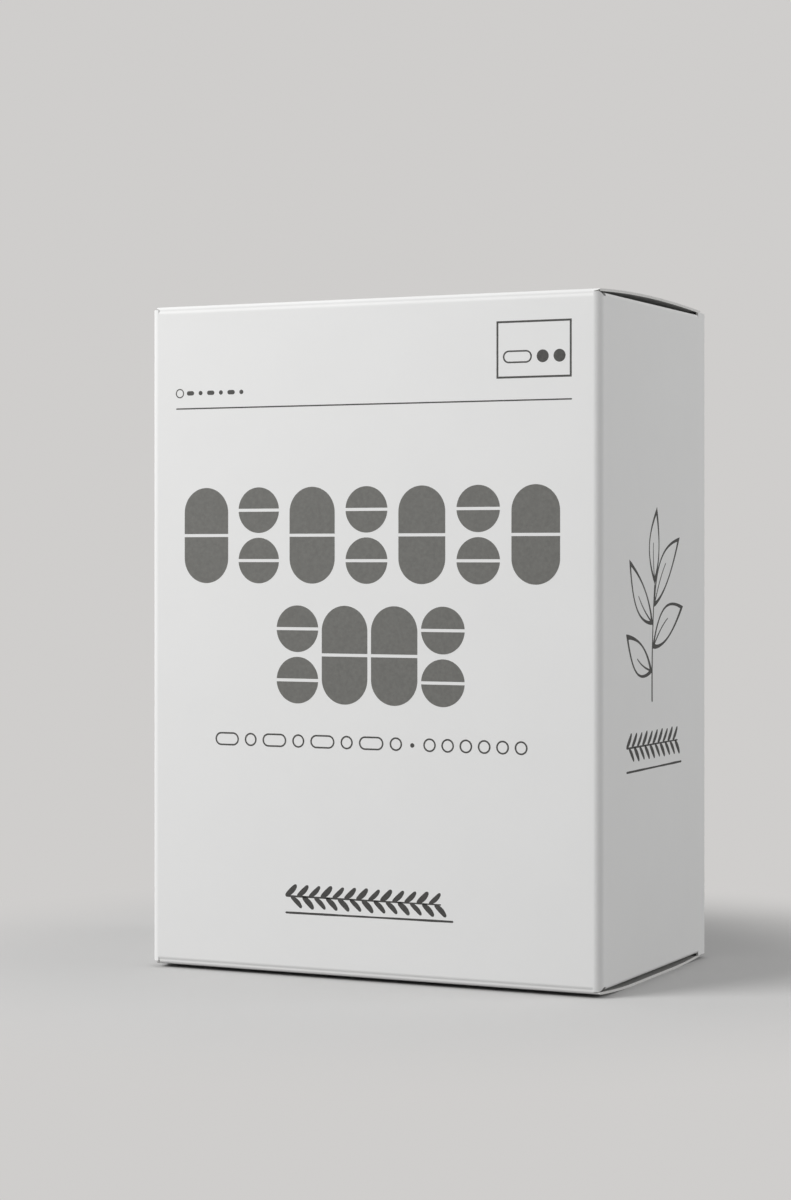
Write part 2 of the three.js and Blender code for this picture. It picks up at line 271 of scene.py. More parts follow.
def add_bump(nodes, links, shader, heights):
    """Stacks bumps, each a height output, its depth in metres and its strength."""
    normal = None
    for height, distance, strength in heights:
        bump = nodes.new("ShaderNodeBump")
        bump.inputs["Distance"].default_value = distance
        bump.inputs["Strength"].default_value = strength
        links.new(height, bump.inputs["Height"])
        if normal:
            links.new(normal, bump.inputs["Normal"])
        normal = bump.outputs["Normal"]
    links.new(normal, shader.inputs["Normal"])


def shade(colour, factor):
    return tuple(c * factor for c in colour)


def card_material(name, colour, mottle, roughness, fibre):
    """Card: a faint cloudy mottle, a slightly uneven sheen and a fine fibre grain under the coating."""
    material, nodes, links, shader = new_material(name)
    cloud = add_noise(nodes, links, scale=90, detail=3)
    links.new(
        tint_by(nodes, links, cloud, shade(colour, 1 - mottle), shade(colour, 1 + mottle)),
        shader.inputs["Base Color"],
    )
    sheen = add_noise(nodes, links, scale=700, detail=2)
    links.new(
        range_of(nodes, links, sheen, roughness - SHEEN_SPREAD, roughness + SHEEN_SPREAD),
        shader.inputs["Roughness"],
    )
    shader.inputs["Specular IOR Level"].default_value = 0.2
    grain = add_noise(nodes, links, scale=2600, detail=4, roughness=0.6, stretch=(1, 1, 0.55))
    wave = add_noise(nodes, links, scale=45, detail=2)
    add_bump(nodes, links, shader, [(wave, 0.10 * MM, 0.5), (grain, fibre, 0.6)])
    return material


def edge_material():
    """The cut edge: the layers of the board show as fine lines, a little darker than its face."""
    material, nodes, links, shader = new_material("card_edge")
    layers = add_noise(nodes, links, scale=1500, detail=3, roughness=0.6, stretch=(1, 1, 5))
    links.new(
        tint_by(nodes, links, layers, shade(CARD_EDGE, 0.88), shade(CARD_EDGE, 1.05)),
        shader.inputs["Base Color"],
    )
    shader.inputs["Roughness"].default_value = 0.9
    shader.inputs["Specular IOR Level"].default_value = 0.2
    add_bump(nodes, links, shader, [(layers, 0.03 * MM, 0.6)])
    return material


def ink_material(name, colour, speckle):
    """Printing ink: dense, with small paler specks where the card's grain shows through."""
    material, nodes, links, shader = new_material(name)
    grain = add_noise(nodes, links, scale=1800, detail=5, roughness=0.65)
    links.new(
        tint_by(nodes, links, grain, shade(colour, 0.9), shade(colour, 1 + speckle), INK_SPAN),
        shader.inputs["Base Color"],
    )
    shader.inputs["Roughness"].default_value = 0.62
    shader.inputs["Specular IOR Level"].default_value = 0.35
    fibres = add_noise(nodes, links, scale=2600, detail=4, roughness=0.6)
    add_bump(nodes, links, shader, [(fibres, 0.012 * MM, 0.6)])
    return material


def film_material():
    """White blister film: glossy, drawn a little thin and uneven over the pockets."""
    material, nodes, links, shader = new_material("blister_film")
    cloud = add_noise(nodes, links, scale=160, detail=2)
    links.new(
        tint_by(nodes, links, cloud, shade(FILM_WHITE, 0.96), FILM_WHITE),
        shader.inputs["Base Color"],
    )
    shader.inputs["Roughness"].default_value = 0.22
    ripple = add_noise(nodes, links, scale=220, detail=2)
    add_bump(nodes, links, shader, [(ripple, 0.05 * MM, 0.4)])
    return material


def foil_material():
    """Lidding foil: satin aluminium with the fine dimples of its sealing roller."""
    material, nodes, links, shader = new_material("lidding_foil")
    shader.inputs["Metallic"].default_value = 1.0
    cloud = add_noise(nodes, links, scale=300, detail=3)
    links.new(tint_by(nodes, links, cloud, shade(FOIL, 0.93), FOIL), shader.inputs["Base Color"])
    links.new(range_of(nodes, links, cloud, low=0.28, high=0.4), shader.inputs["Roughness"])
    place = nodes.new("ShaderNodeTexCoord")
    dimples = nodes.new("ShaderNodeTexVoronoi")
    dimples.inputs["Scale"].default_value = 1100
    dimples.inputs["Randomness"].default_value = 0.0
    links.new(place.outputs["Object"], dimples.inputs["Vector"])
    add_bump(nodes, links, shader, [(dimples.outputs["Distance"], 0.05 * MM, 0.5)])
    return material


def paper_material():
    """Thin leaflet paper: slightly warm, with a soft fibre look and a faint cockle."""
    material, nodes, links, shader = new_material("leaflet_paper")
    cloud = add_noise(nodes, links, scale=400, detail=4)
    links.new(
        tint_by(nodes, links, cloud, shade(PAPER, 0.95), shade(PAPER, 1.03)),
        shader.inputs["Base Color"],
    )
    shader.inputs["Roughness"].default_value = 0.85
    fibres = add_noise(nodes, links, scale=3000, detail=4)
    cockle = add_noise(nodes, links, scale=60, detail=2)
    add_bump(nodes, links, shader, [(cockle, 0.15 * MM, 0.5), (fibres, 0.02 * MM, 0.5)])
    return material


card_face = card_material("card_face", CARD_WHITE, mottle=0.006, roughness=0.68, fibre=0.012 * MM)
# The inner side of the card: its grey back, darkened into painted shade for the gaps under the closures.
card_grey_back_and_gap_shade = card_material("card_grey_back_and_gap_shade", CARD_GREY_BACK_AND_GAP_SHADE, mottle=0.02, roughness=0.9, fibre=0.03 * MM)
card_edge = edge_material()
card_materials = [card_face, card_grey_back_and_gap_shade, card_edge]
ink_grey = ink_material("ink_grey", INK_GREY, speckle=0.14)
ink_line = ink_material("ink_line", INK_LINE, speckle=0.4)
ink_dark = ink_material("ink_dark", INK_DARK, speckle=0.5)


# The carton's sheet


def level_inside(end, drop):
    """The level that lies a drop inside one of the two hinge lines. end is 1 top, -1 bottom."""
    hinge = TOP_HINGE if end > 0 else BOTTOM_HINGE
    return hinge - end * drop


def front_edge(end):
    """Level of the front panel's edge, where a closure's crease takes over."""
    return level_inside(end, CREASE_RUN)


def crease_join(end):
    """Level up to which the upright folds stand beside a closure's crease."""
    return level_inside(end, CREASE_JOIN)


def side_edge(end):
    """Level of the side panels' edges: a dust flap's fold starts there."""
    return level_inside(end, DUST_DROP + DUST_FOLD)


def rear_edge(end):
    """Level of the rear panel's cut edges."""
    return level_inside(end, REAR_DROP)


def front_fold(side):
    """Columns of one upright front fold, from the front panel round to the side panel."""
    centre = Vector((side * (HALF_WIDTH - WALL_FOLD), FRONT + WALL_FOLD, 0))
    columns = []
    for i in range(FOLD_STEPS + 1):
        share = i / FOLD_STEPS
        angle = share * math.pi / 2
        out = Vector((side * math.sin(angle), -math.cos(angle), 0))
        point = centre + out * WALL_FOLD
        fall = ease((share - RIM_LEVEL) / (1 - RIM_LEVEL))
        low, high = (mix(crease_join(end), side_edge(end), fall) for end in (-1, 1))
        levels = (low, front_edge(-1), front_edge(1), high)
        columns.append([(Vector((point.x, point.y, z)), out) for z in levels])
    return columns


def rear_fold(side, inset):
    """Columns of one upright rear fold, from the side panel round to the rear."""
    centre = Vector((side * (HALF_WIDTH - WALL_FOLD), REAR - WALL_FOLD - inset, 0))
    columns = []
    for i in range(FOLD_STEPS + 1):
        angle = i / FOLD_STEPS * math.pi / 2
        out = Vector((side * math.cos(angle), math.sin(angle), 0))
        point = centre + out * WALL_FOLD
        columns.append([(Vector((point.x, point.y, z)), out) for z in (rear_edge(-1), rear_edge(1))])
    return columns


def dust_root(side):
    """Where a dust flap's root starts and ends along the side panel."""
    return FRONT + WALL_FOLD + DUST_FRONT_INSET, REAR - SHOULDER


def side_panel(sheet, side, fold, rear):
    """One side panel: flat, between the last column of its front fold and the first of its rear fold."""
    out = Vector((side, 0, 0))
    x = side * HALF_WIDTH
    root_front, root_rear = dust_root(side)
    loop = [point for point, _ in reversed(fold[-1])]
    loop.append(Vector((x, root_front, side_edge(-1))))
    loop.append(Vector((x, root_rear, side_edge(-1))))
    loop.append(Vector((x, root_rear, rear_edge(-1))))
    loop.append(rear[0][0][0])
    loop.append(rear[0][1][0])
    loop.append(Vector((x, root_rear, rear_edge(1))))
    loop.append(Vector((x, root_rear, side_edge(1))))
    loop.append(Vector((x, root_front, side_edge(1))))
    if side < 0:
        loop.reverse()
    sheet.face([(point, out) for point in loop])


def dust_flap(sheet, side, end):
    """One dust flap: its fold, and the panel that narrows to a round-cornered free end."""
    root_front, root_rear = dust_root(side)
    level = side_edge(end)
    rows = []
    for i in range(FOLD_STEPS + 1):
        angle = i / FOLD_STEPS * math.pi / 2
        out = Vector((side * math.cos(angle), 0, end * math.sin(angle)))
        x = side * (HALF_WIDTH - DUST_FOLD) + out.x * DUST_FOLD
        z = level + out.z * DUST_FOLD
        rows.append([(Vector((x, y, z)), out) for y in (root_front, root_rear)])
    out = Vector((0, 0, end))
    z = level + end * DUST_FOLD
    tip = HALF_WIDTH - DUST_LENGTH
    corner_start = tip + DUST_CORNER
    for i in range(CORNER_STEPS + 1):
        angle = i / CORNER_STEPS * math.pi / 2
        x = corner_start - DUST_CORNER * math.sin(angle)
        round_off = DUST_CORNER * (1 - math.cos(angle))
        front = root_front + DUST_TAPER + round_off
        rear = root_rear - round_off
        rows.append([(Vector((side * x, y, z)), out) for y in (front, rear)])
    sheet.rows(rows, flip=side * end < 0)


def glue_flap(sheet, fold):
    """The flap inside the rear panel, its ends cut at a slant."""
    out = Vector((0, 1, 0))
    tip = -HALF_WIDTH + GLUE_WIDTH
    low, high = fold[-1]
    loop = [
        high[0],
        Vector((tip, REAR - CARD, rear_edge(1) - GLUE_SLANT)),
        Vector((tip, REAR - CARD, rear_edge(-1) + GLUE_SLANT)),
        low[0],
    ]
    sheet.face([(point, out) for point in loop])


def rear_panel(sheet, fold):
    """The rear panel, from its fold on the right to its cut edge over the left fold."""
    out = Vector((0, 1, 0))
    low, high = fold[-1]
    seam = -HALF_WIDTH + WALL_FOLD
    loop = [
        low[0],
        Vector((seam, REAR, low[0].z)),
        Vector((seam, REAR, high[0].z)),
        high[0],
    ]
    sheet.face([(point, out) for point in loop])


def build_carton():
    """The folded sheet without its closures. The left rear fold lies one card deeper, under the seam."""
    sheet = CardSheet("carton_card", CARD)
    folds = {side: front_fold(side) for side in (-1, 1)}
    rear = {1: rear_fold(1, 0), -1: rear_fold(-1, CARD)}
    front_out = Vector((0, -1, 0))
    left = [point for point, _ in folds[-1][0][1:-1]]
    right = [point for point, _ in folds[1][0][1:-1]]
    sheet.face([(point, front_out) for point in left[::-1] + right])
    for side in (-1, 1):
        sheet.rows(folds[side], flip=side > 0)
        side_panel(sheet, side, folds[side], rear[side])
        sheet.rows(rear[side], flip=side > 0)
        for end in (-1, 1):
            dust_flap(sheet, side, end)
    glue_flap(sheet, rear[-1])
    rear_panel(sheet, rear[1])
    carton = sheet.build(card_materials)
    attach(carton, "carton")
    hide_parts("carton")


# The closures


def crease_profile():
    """Points of the scored crease in a closure's own frame, as (back, outwards, turn), from the front
    panel, one run below the hinge line, round to the closure."""
    turns = []
    for i in range(CREASE_STEPS + 1):
        share = i / CREASE_STEPS
        for (start, before), (stop, after) in zip(CREASE_TURNS, CREASE_TURNS[1:]):
            if start <= share <= stop:
                turns.append(math.radians(mix(before, after, ease((share - start) / (stop - start)))))
                break
    backs, outs = [0.0], [0.0]
    for a, b in zip(turns, turns[1:]):
        middle = (a + b) / 2
        backs.append(backs[-1] + math.sin(middle))
        outs.append(outs[-1] + math.cos(middle))
    step = CREASE_RUN / outs[-1]
    return [(b * step, o * step - CREASE_RUN, turn) for b, o, turn in zip(backs, outs, turns)]


def quadratic(a, b, c, t):
    """A point of a quadratic curve, and how far it slopes down there."""
    point = [mix(mix(p, q, t), mix(q, r, t), t) for p, q, r in zip(a, b, c)]
    along = [mix(q - p, r - q, t) for p, q, r in zip(a, b, c)]
    return point[0], point[1], math.atan2(-along[1], along[0])


def closure_profile(bow, rear_rise, flat_half):
    """A closure's outer face in its own frame, from the front panel to the tuck flap's tip, as
    (back, outwards, turn), and the place in it where the tuck fold ends."""
    profile = crease_profile()
    start = profile[-1][0]
    flat_from = DEPTH / 2 - flat_half
    flat_to = DEPTH / 2 + flat_half
    for i in range(1, BOW_STEPS + 1):
        point = quadratic((start, 0), ((start + flat_from) / 2, bow), (flat_from, bow), i / BOW_STEPS)
        profile.append((point[0], point[1], math.pi / 2 + point[2]))
    reach = DEPTH - 2 * CARD - CLEARANCE
    centre_out = rear_rise - TUCK_FOLD
    centre_back = math.sqrt((reach - TUCK_FOLD) ** 2 - centre_out**2)
    first = 1 if flat_half == 0 else 0
    for i in range(first, BOW_STEPS + 1):
        point = quadratic(
            (flat_to, bow), ((flat_to + centre_back) / 2, bow), (centre_back, rear_rise), i / BOW_STEPS
        )
        profile.append((point[0], point[1], math.pi / 2 + point[2]))
    tuck_start = math.atan2(centre_out, centre_back)
    for i in range(1, FOLD_STEPS + 1):
        angle = mix(math.pi / 2, tuck_start, i / FOLD_STEPS)
        back = centre_back + TUCK_FOLD * math.cos(angle)
        profile.append((back, centre_out + TUCK_FOLD * math.sin(angle), math.pi - angle))
    fold_end = len(profile) - 1
    tip_angle = -math.asin(TUCK_LENGTH / reach)
    for i in range(1, TUCK_STEPS + 1):
        angle = mix(tuck_start, tip_angle, i / TUCK_STEPS)
        profile.append((reach * math.cos(angle), reach * math.sin(angle), math.pi - angle))
    return profile, fold_end


def lid_half_width(side, back, out):
    """Half width of a closure: the front panel's at the crease's start, and soon the lid's."""
    full = LID_HALF_SPAN
    if side < 0:
        full -= LEFT_INSET * (1 - ease(back / LEFT_INSET_RUN))
    return mix(HALF_WIDTH - WALL_FOLD, full, ease((out + CREASE_JOIN) / CREASE_SPREAD))


def tuck_half_width(side, back, out):
    """Half width of the tuck flap, its two free corners rounded."""
    half = HALF_WIDTH - CARD - CLEARANCE - TUCK_INSET
    into = max(0.0, TUCK_CORNER - (TUCK_LENGTH + out))
    return half - TUCK_CORNER + math.sqrt(max(0.0, TUCK_CORNER**2 - into**2))


def build_closure(name, node, hinge, end, bow, rear_rise, flat_half):
    """One closure, from its crease on the front panel to the tuck flap behind the rear panel. Its sides
    step in before the tuck fold to clear the side panels, and two slits catch the dust flaps there."""
    profile, fold_end = closure_profile(bow, rear_rise, flat_half)
    relief = HALF_WIDTH - CARD - CLEARANCE
    relief_from = DEPTH - 2 * CARD - CLEARANCE - TUCK_FOLD
    slit_half = relief - SLIT_LENGTH

    def relief_half_width(side, back, out):
        return relief

    def corner(x, step):
        back, out, turn = step
        normal = Vector((0, -math.cos(turn), end * math.sin(turn)))
        return Vector((x, FRONT + back, hinge + end * out)), normal

    sheet = CardSheet(name, CARD)

    def cells(a, b, half_width, middle_only=False):
        """The closure between two steps of its profile: a middle part and one part on each side."""
        middle = [[corner(x, a) for x in (-slit_half, slit_half)]]
        middle.append([corner(x, b) for x in (-slit_half, slit_half)])
        sheet.rows(middle, flip=end < 0)
        if middle_only:
            return
        for side in (-1, 1):
            near = [corner(side * x, a) for x in (slit_half, half_width(side, *a[:2]))]
            far = [corner(side * x, b) for x in (slit_half, half_width(side, *b[:2]))]
            sheet.rows([near, far], flip=side * end < 0)

    for i, (a, b) in enumerate(zip(profile, profile[1:])):
        if i >= fold_end:
            cells(a, b, tuck_half_width)
        else:
            half_width = relief_half_width if a[0] >= relief_from else lid_half_width
            cells(a, b, half_width, middle_only=i >= fold_end - SLIT_STEPS)

    closure = sheet.build(card_materials)
    crease_end = crease_profile()[-1]
    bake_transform(closure)
    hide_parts(node)


build_carton()
build_closure("top_closure", "top_lid", TOP_HINGE, 1, TOP_BOW, TOP_REAR_RISE, 0)
build_closure(
    "bottom_closure", "bottom_lid", BOTTOM_HINGE, -1, BOTTOM_BOW, BOTTOM_REAR_RISE,
    REST_HALF_DEPTH,
)


# What the carton holds

STRIP_SHEET = 0.4 * MM
STRIP_CORNER = 5 * MM
POCKET_LENGTH = 24 * MM
POCKET_WIDTH = 11.5 * MM
POCKET_PITCH = (38 * MM, 20.5 * MM)
POCKET_COUNT = (2, 5)
EDGE_SLOPE = 0.02  # a strip's face that leans out less than this is part of its cut edge
# A pocket's section from its flange to its crown: how far in from its rim, and how high, as a share.
POCKET_SECTION = [
    (-0.9 * MM, 0.0),
    (-0.45 * MM, 0.01),
    (-0.12 * MM, 0.07),
    (0.1 * MM, 0.3),
    (0.42 * MM, 0.65),
    (0.75 * MM, 0.82),
    (1.4 * MM, 0.92),
    (2.3 * MM, 0.97),
    (3.36 * MM, 1.0),
]
LEAFLET_PAPER = 0.35 * MM
LEAFLET_GAP = 0.25 * MM
LEAFLET_LAYERS = 5


def rounded_outline(half_width, low, high, corner):
    """A rounded rectangle across and up, counter-clockwise."""
    outline = []
    for quarter, (side, top) in enumerate(((1, 1), (-1, 1), (-1, -1), (1, -1))):
        u = side * (half_width - corner)
        v = high - corner if top > 0 else low + corner
        for i in range(CORNER_STEPS + 1):
            angle = (quarter + i / CORNER_STEPS) * math.pi / 2
            outline.append((u + corner * math.cos(angle), v + corner * math.sin(angle)))
    return outline


def pocket_rings(u, v, depth):
    """Rings of one lying pocket, as (across, up, height above the film)."""
    rings = []
    for inset, share in POCKET_SECTION:
        width = POCKET_WIDTH - 2 * inset
        straight = (POCKET_LENGTH - POCKET_WIDTH) / 2
        ring = []
        for side in (1, -1):
            for i in range(FOLD_STEPS + 1):
                angle = math.pi * (i / FOLD_STEPS - side / 2)
                ring.append(
                    (
                        u + side * straight + width / 2 * math.cos(angle),
                        v + width / 2 * math.sin(angle),
                        depth * share,
                    )
                )
        rings.append(ring)
    return rings


def build_strip(node):
    """One blister strip: a flat sealed sheet of film and foil, and the pockets drawn in the film."""
    low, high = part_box(node)
    rim = [v.co.y for v in frame["nodes"][node].data.vertices if v.co.x > high.x - MERGE]
    foil_low = min(rim) < low.y + MERGE
    foil = low.y if foil_low else high.y
    way = 1 if foil_low else -1
    film = foil + way * STRIP_SHEET
    depth = (high.y - low.y) - STRIP_SHEET

    film_slot, foil_slot = 0, 1
    points = []

    def add(ring, heights):
        start = len(points)
        for (u, v, *_), height in zip(ring, heights):
            points.append((u, height, v))
        return list(range(start, start + len(ring)))

    outline = rounded_outline(high.x, low.z, high.z, STRIP_CORNER)
    count = len(outline)
    back = add(outline, [foil] * count)
    front = add(outline, [film] * count)
    faces, slots = [front[::-1], back], [film_slot, foil_slot]
    for i in range(count):
        j = (i + 1) % count
        faces.append([back[j], back[i], front[i], front[j]])
    columns, rows = POCKET_COUNT
    middle = (low.z + high.z) / 2
    for column in range(columns):
        for row in range(rows):
            u = (column - (columns - 1) / 2) * POCKET_PITCH[0]
            v = middle + (row - (rows - 1) / 2) * POCKET_PITCH[1]
            rings = pocket_rings(u, v, depth)
            root = add(rings[0], [film - way * STRIP_SHEET / 2] * len(rings[0]))
            loops = [root] + [add(ring, [film + way * p[2] for p in ring]) for ring in rings]
            faces += [root, loops[-1][::-1]]
            for a, b in zip(loops, loops[1:]):
                for i in range(len(a)):
                    j = (i + 1) % len(a)
                    faces.append([a[j], a[i], b[i], b[j]])
    slots += [film_slot] * (len(faces) - len(slots))
    if not foil_low:
        faces = [face[::-1] for face in faces]
    strip = new_mesh(node + "_dressed", points, faces, [film_face, foil_face], slots)
    for polygon in strip.data.polygons:
        polygon.use_smooth = len(polygon.vertices) == 4 and abs(polygon.normal.y) > EDGE_SLOPE
    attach(strip, "carton")
    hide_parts(node)


def build_leaflet():
    """The leaflet: one sheet folded to and fro, seen from above as a flat serpentine."""
    low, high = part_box("leaflet")
    pitch = LEAFLET_PAPER + LEAFLET_GAP
    radius = pitch / 2
    straight = high.x - radius - LEAFLET_PAPER / 2
    path = [(-straight, 0.0, 0.0)]
    for layer in range(LEAFLET_LAYERS):
        side = -1 if layer % 2 else 1
        back = layer * pitch
        heading = 0.0 if side > 0 else math.pi
        path.append((side * straight, back, heading))
        if layer + 1 < LEAFLET_LAYERS:
            for i in range(1, FOLD_STEPS + 1):
                turn = math.pi * i / FOLD_STEPS
                x = side * (straight + radius * math.sin(turn))
                path.append((x, back + radius * (1 - math.cos(turn)), heading + side * turn))
    sheet = CardSheet("leaflet_folded", LEAFLET_PAPER)
    rows = []
    for x, back, heading in path:
        out = Vector((math.sin(heading), -math.cos(heading), 0))
        middle = Vector((x, low.y + LEAFLET_PAPER / 2 + back, 0))
        outer = middle + out * (LEAFLET_PAPER / 2)
        rows.append([(Vector((outer.x, outer.y, z)), out) for z in (high.z, low.z)])
    sheet.rows(rows)
    leaflet = sheet.build([paper, paper, paper])
    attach(leaflet, "carton")
    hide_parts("leaflet")


film_face = film_material()
foil_face = foil_material()
paper = paper_material()
for name in sorted(frame["nodes"]):
    if name.startswith("blister_strip_"):
        build_strip(name)
build_leaflet()


# The print: rules, an outlined rectangle, rows of tablets, brush marks and a leafy sprig. Its places are
# in mm, across and up each panel, from the middle of the front panel's foot or from the side panel's
# front foot.

FINE_LINE = 0.25
FRAME_LINE = 0.35
RULE = ((-38.82, 102.0), (38.72, 102.0))
FRAME_LOW = (24.7, 105.8)
FRAME_HIGH = (38.63, 115.7)
FRAME_MARK = (31.7, 109.5)  # the middle of the small row of tablets inside it
FRAME_CAPSULE_OFFSET = -3.1
FRAME_CAPSULE = {"width": 5.4, "height": 2.2, "line": 0.28}
FRAME_ROUND_OFFSETS = (1.6, 4.7)
FRAME_ROUND = 2.2
SMALL_ROW_START = (-38.0, 104.8)
SMALL_ROW_RING = {"width": 1.7, "height": 1.7, "line": 0.2}
SMALL_ROW_WIDTHS = (1.5, 0.8) * 3
SMALL_ROW_OFFSET = 2.2  # from the ring's middle to the first filled tablet's
SMALL_ROW_PITCH = 2.1
LARGE_ROW = {"left": -37.0, "right": 36.5, "low": 70.3, "high": 87.55, "kinds": "CRCRCRC"}
SECOND_ROW = {"left": -18.1, "right": 18.7, "low": 48.9, "high": 66.4, "kinds": "RCCR"}
CAPLET_WIDTH = 9.0
ROUND_GAP = 0.85
SCORE = 0.55
OUTLINE_ROW_LEFT = (-30.6, 6.7)
OUTLINE_ROW_RIGHT = (10.8, 30.5)
OUTLINE_ROW_LEVEL = 42.2
OUTLINE_LINE = 0.3
OUTLINE_DOT = (8.68, 42.07)
DOT = 0.8
SMALL_ROUND = 2.4
SMALL_CAPSULE = 4.8
FRONT_BRUSH = {"left": -16.3, "right": 16.4, "low": 12.3, "high": 16.6, "count": 13}
FRONT_UNDERLINE = ((-16.34, 11.48), (16.57, 11.63))
SIDE_BRUSH = {"left": 12.2, "right": 41.2, "low": 39.2, "high": 44.3, "count": 10}
GARLAND_STEM = (0.34, 0.24)  # widths at its start and end
DAB_LEAN = 1.0  # how far a dab leans for each mm that it rises
DAB_BOW = 0.22
DAB_STAGGER = 0.45  # how much of a pitch the lower dabs lie behind the upper ones
DAB_STEPS = 12
DAB_WIDTH = 0.98
UNDERLINE_WIDTH = 0.36
SIDE_UNDERLINE = ((12.18, 37.55), (40.78, 37.69))
SPRIG_TAIL = (25.15, 49.26)
SPRIG_BEND = (24.9, 60.0)
SPRIG_TOP = (26.5, 70.2)
# Each leaf: how far up the stem it grows, its tip, and its half width.
SPRIG_LEAVES = [
    (0.26, (12.0, 61.6), 2.9),
    (0.44, (41.6, 66.0), 3.0),
    (0.63, (13.6, 74.6), 2.8),
    (0.80, (39.8, 78.6), 2.8),
    (1.00, (27.75, 83.96), 2.7),
]
SPRIG_STEM = (0.6, 0.38)  # widths at its start and end
LEAF_LINES = (1.3, 0.42, 1.5)  # thickness of a leaf's outline at its base, its sides and its tip
LEAF_POINT = 0.9  # an exponent: smaller is blunter, with the widest place nearer the base
LEAF_BEND = 0.06  # how far a leaf bends sideways, as a share of its length
VEIN = (0.42, 0.22)  # widths at its start and end
VEIN_SHARE = 0.62  # how much of a leaf's length its vein runs
ARC_STEPS = 20
STROKE_STEP = 0.15
STROKE_END = 0.2  # the share of its width that a stroke keeps at its very end


class Print:
    """Ink on one panel: closed shapes a hair thick, drawn in mm across and up from the panel's foot."""

    def __init__(self, name, origin, across, out, material):
        self.name = name
        self.origin = Vector(origin)
        self.across = Vector(across) * MM
        self.out = Vector(out)
        self.material = material
        self.points = []
        self.faces = []
        self.layers = 0

    def add(self, flat, faces):
        """A closed solid over flat faces, which run counter-clockwise as seen from in front."""
        base = len(self.points)
        count = len(flat)
        lift = INK + OVERPRINT * (self.layers % OVERPRINT_LEVELS)
        self.layers += 1
        for height in (lift, -INK_ROOT):
            for u, v in flat:
                place = self.origin + self.across * u + self.out * height
                self.points.append(place + Vector((0, 0, v * MM)))
        edges = {(a, b) for f in faces for a, b in zip(f, f[1:] + f[:1])}
        for f in faces:
            self.faces.append([base + v for v in f])
            self.faces.append([base + count + v for v in reversed(f)])
        for a, b in sorted(edges):
            if (b, a) not in edges:
                self.faces.append([base + b, base + a, base + count + a, base + count + b])

    def fill(self, outline):
        """One filled outline, counter-clockwise."""
        self.add(outline, [list(range(len(outline)))])

    def ring(self, outer, inner):
        """The band between two outlines that have as many points."""
        count = len(outer)
        faces = []
        for i in range(count):
            j = (i + 1) % count
            faces.append([i, j, count + j, count + i])
        self.add(outer + inner, faces)

    def stroke(self, path, width):
        """A round-ended line along a path; width is a function of the share of the way along it."""
        spine = resample(path)
        length = STROKE_STEP * (len(spine) - 1)
        left, right = [], []
        for i, (u, v) in enumerate(spine):
            before, after = spine[max(0, i - 1)], spine[min(len(spine) - 1, i + 1)]
            du, dv = after[0] - before[0], after[1] - before[1]
            size = math.hypot(du, dv)
            share = i / (len(spine) - 1)
            half = width(share) / 2
            to_end = min(share, 1 - share) * length
            into = max(0.0, 1 - to_end / half)
            half *= max(STROKE_END, math.sqrt(1 - into * into))
            left.append((u - dv / size * half, v + du / size * half))
            right.append((u + dv / size * half, v - du / size * half))
        count = len(spine)
        faces = [[count + i, count + i + 1, i + 1, i] for i in range(count - 1)]
        self.add(left + right, faces)

    def build(self, body):
        ink = new_mesh(self.name, self.points, self.faces, [self.material])
        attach(ink, body)


def resample(path):
    """The same path in about even steps."""
    lengths = [0.0]
    for (u0, v0), (u1, v1) in zip(path, path[1:]):
        lengths.append(lengths[-1] + math.hypot(u1 - u0, v1 - v0))
    count = max(4, round(lengths[-1] / STROKE_STEP))
    spine = []
    at = 0
    for i in range(count + 1):
        goal = lengths[-1] * i / count
        while at < len(path) - 2 and lengths[at + 1] < goal:
            at += 1
        share = (goal - lengths[at]) / (lengths[at + 1] - lengths[at])
        spine.append(tuple(mix(p, q, share) for p, q in zip(path[at], path[at + 1])))
    return spine


def capsule(u, v, width, height):
    """A round-ended outline about a middle, upright or lying, or a circle."""
    radius = min(width, height) / 2
    outline = []
    for quarter, (side, top) in enumerate(((1, 1), (-1, 1), (-1, -1), (1, -1))):
        centre = (u + side * (width / 2 - radius), v + top * (height / 2 - radius))
        for i in range(ARC_STEPS + 1):
            angle = (quarter + i / ARC_STEPS) * math.pi / 2
            outline.append((centre[0] + radius * math.cos(angle), centre[1] + radius * math.sin(angle)))
    return [p for i, p in enumerate(outline) if math.dist(p, outline[i - 1]) > 1e-6]


def scored_half(u, v, width, height, end):
    """The half of an upright tablet on one side of its score line. end is 1 above, -1 below."""
    radius = width / 2
    centre = height / 2 - radius
    start = math.asin(max(0.0, SCORE / 2 - centre) / radius)
    outline = []
    if centre > SCORE / 2:
        outline.append((u + radius, v + end * SCORE / 2))
    for i in range(2 * ARC_STEPS + 1):
        angle = mix(start, math.pi - start, i / (2 * ARC_STEPS))
        outline.append((u + radius * math.cos(angle), v + end * (centre + radius * math.sin(angle))))
    if centre > SCORE / 2:
        outline.append((u - radius, v + end * SCORE / 2))
    return outline if end > 0 else outline[::-1]


def tablet_row(ink, left, right, low, high, kinds):
    """Columns of scored tablets: C is one upright caplet, R a pair of round ones."""
    height = high - low
    round_size = (height - ROUND_GAP) / 2
    widths = [CAPLET_WIDTH if kind == "C" else round_size for kind in kinds]
    gap = (right - left - sum(widths)) / (len(kinds) - 1)
    at = left
    for kind, width in zip(kinds, widths):
        u = at + width / 2
        if kind == "C":
            tablets = [(low + height / 2, height)]
        else:
            tablets = [(low + round_size / 2, round_size), (high - round_size / 2, round_size)]
        for v, size in tablets:
            for end in (1, -1):
                ink.fill(scored_half(u, v, width, size, end))
        at += width + gap


def outlined(ink, u, v, width, height, line):
    """A tablet drawn as a line along its edge."""
    ink.ring(capsule(u, v, width, height), capsule(u, v, width - 2 * line, height - 2 * line))


def outline_row(ink, left, right, level, widths):
    """Small outlined tablets, spread evenly over a stretch."""
    gap = (right - left - sum(widths)) / (len(widths) - 1)
    at = left
    for width in widths:
        outlined(ink, at + width / 2, level, width, SMALL_ROUND, OUTLINE_LINE)
        at += width + gap


